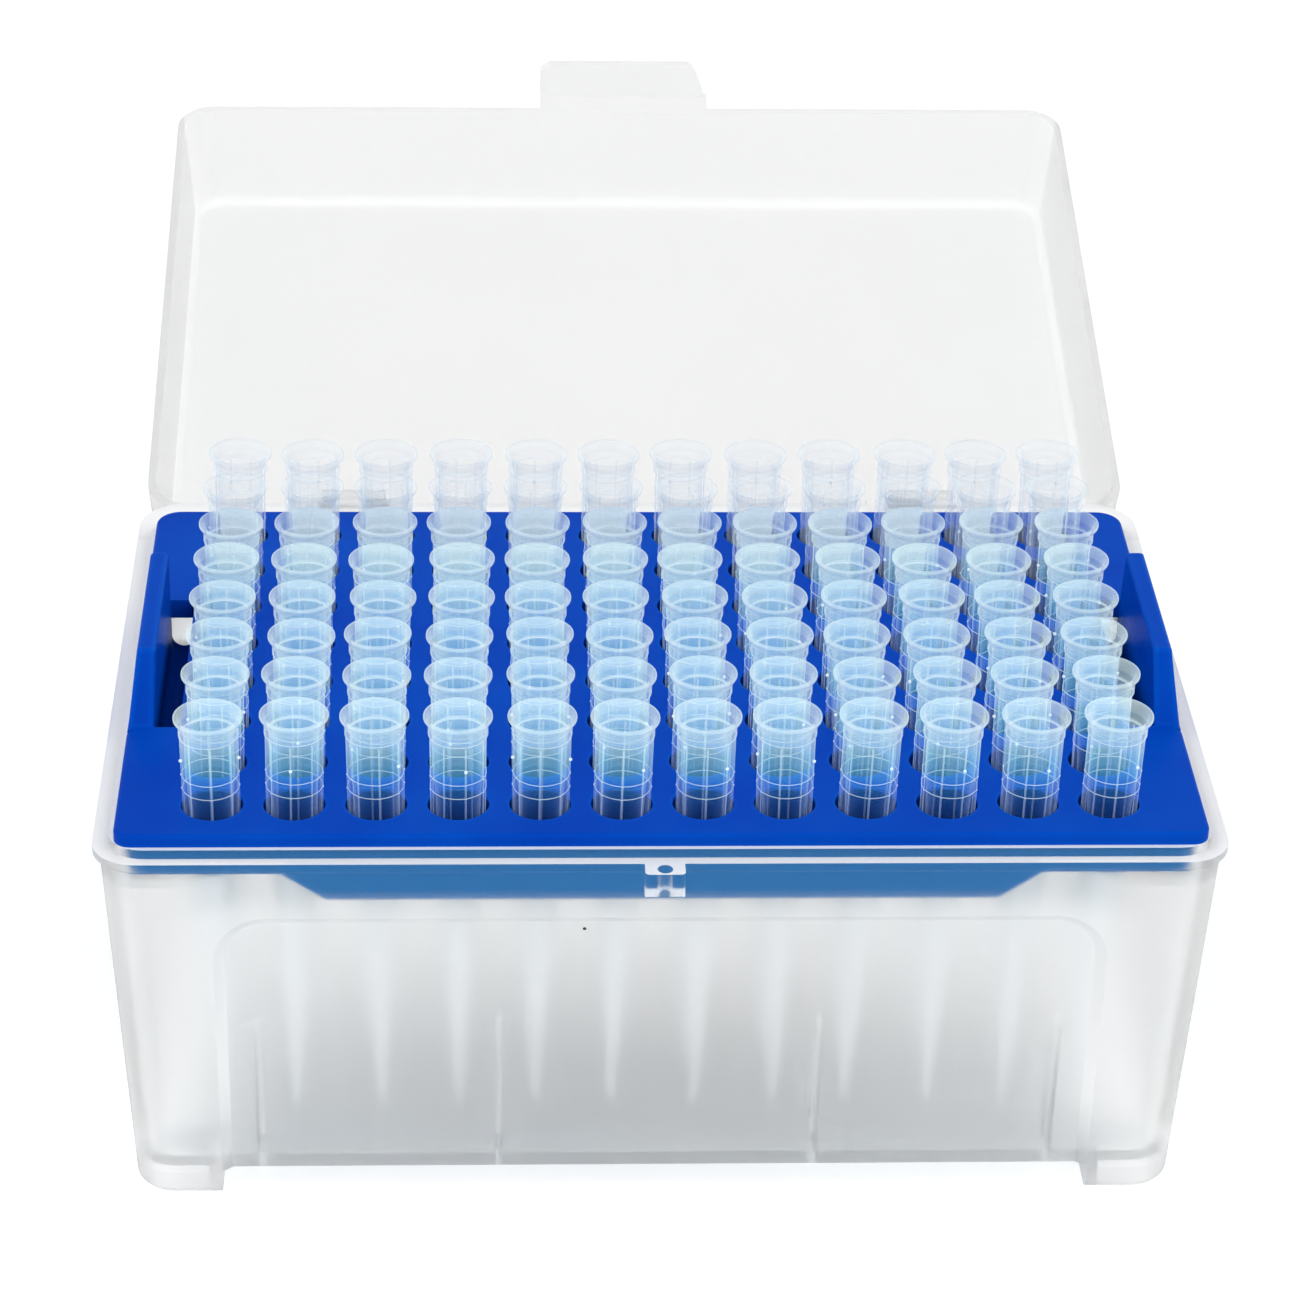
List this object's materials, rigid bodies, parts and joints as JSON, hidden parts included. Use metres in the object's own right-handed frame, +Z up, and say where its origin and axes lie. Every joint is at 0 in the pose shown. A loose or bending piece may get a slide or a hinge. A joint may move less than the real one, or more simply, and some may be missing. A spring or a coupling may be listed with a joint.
{
  "type": "box of pipette tips",
  "caption": "Hinged frosted box with a blue rack full of clear pipette tips standing on a square grid, lid lying open behind it.",
  "frame": {"origin": "on the table, under the middle of the tip grid", "axes": "+X along the long side to the right, +Y from the catch to the hinge, +Z up"},
  "size_m": [0.125, 0.1752, 0.0718],
  "materials": {
    "frosted_base": "translucent polypropylene, finely frosted",
    "frosted_lid": "translucent polypropylene, finely frosted",
    "blue_rack": "opaque blue polypropylene, smooth",
    "clear_tip": "clear natural polypropylene, smooth"
  },
  "bodies": {
    "base": {"base": "frosted_base", "rack": "blue_rack", "tips_column_01": "clear_tip", "tips_column_02": "clear_tip", "tips_column_03": "clear_tip", "tips_column_04": "clear_tip", "tips_column_05": "clear_tip", "tips_column_06": "clear_tip", "tips_column_07": "clear_tip", "tips_column_08": "clear_tip", "tips_column_09": "clear_tip", "tips_column_10": "clear_tip", "tips_column_11": "clear_tip", "tips_column_12": "clear_tip"},
    "lid": {"lid": "frosted_lid"}
  },
  "joints": [
    {"name": "lid_hinge", "type": "hinge", "parent": "base", "child": "lid", "pos_m": [0, 0.046, 0.0452], "axis": [1, 0, 0], "range_deg": [0, 165.4]}
  ]
}
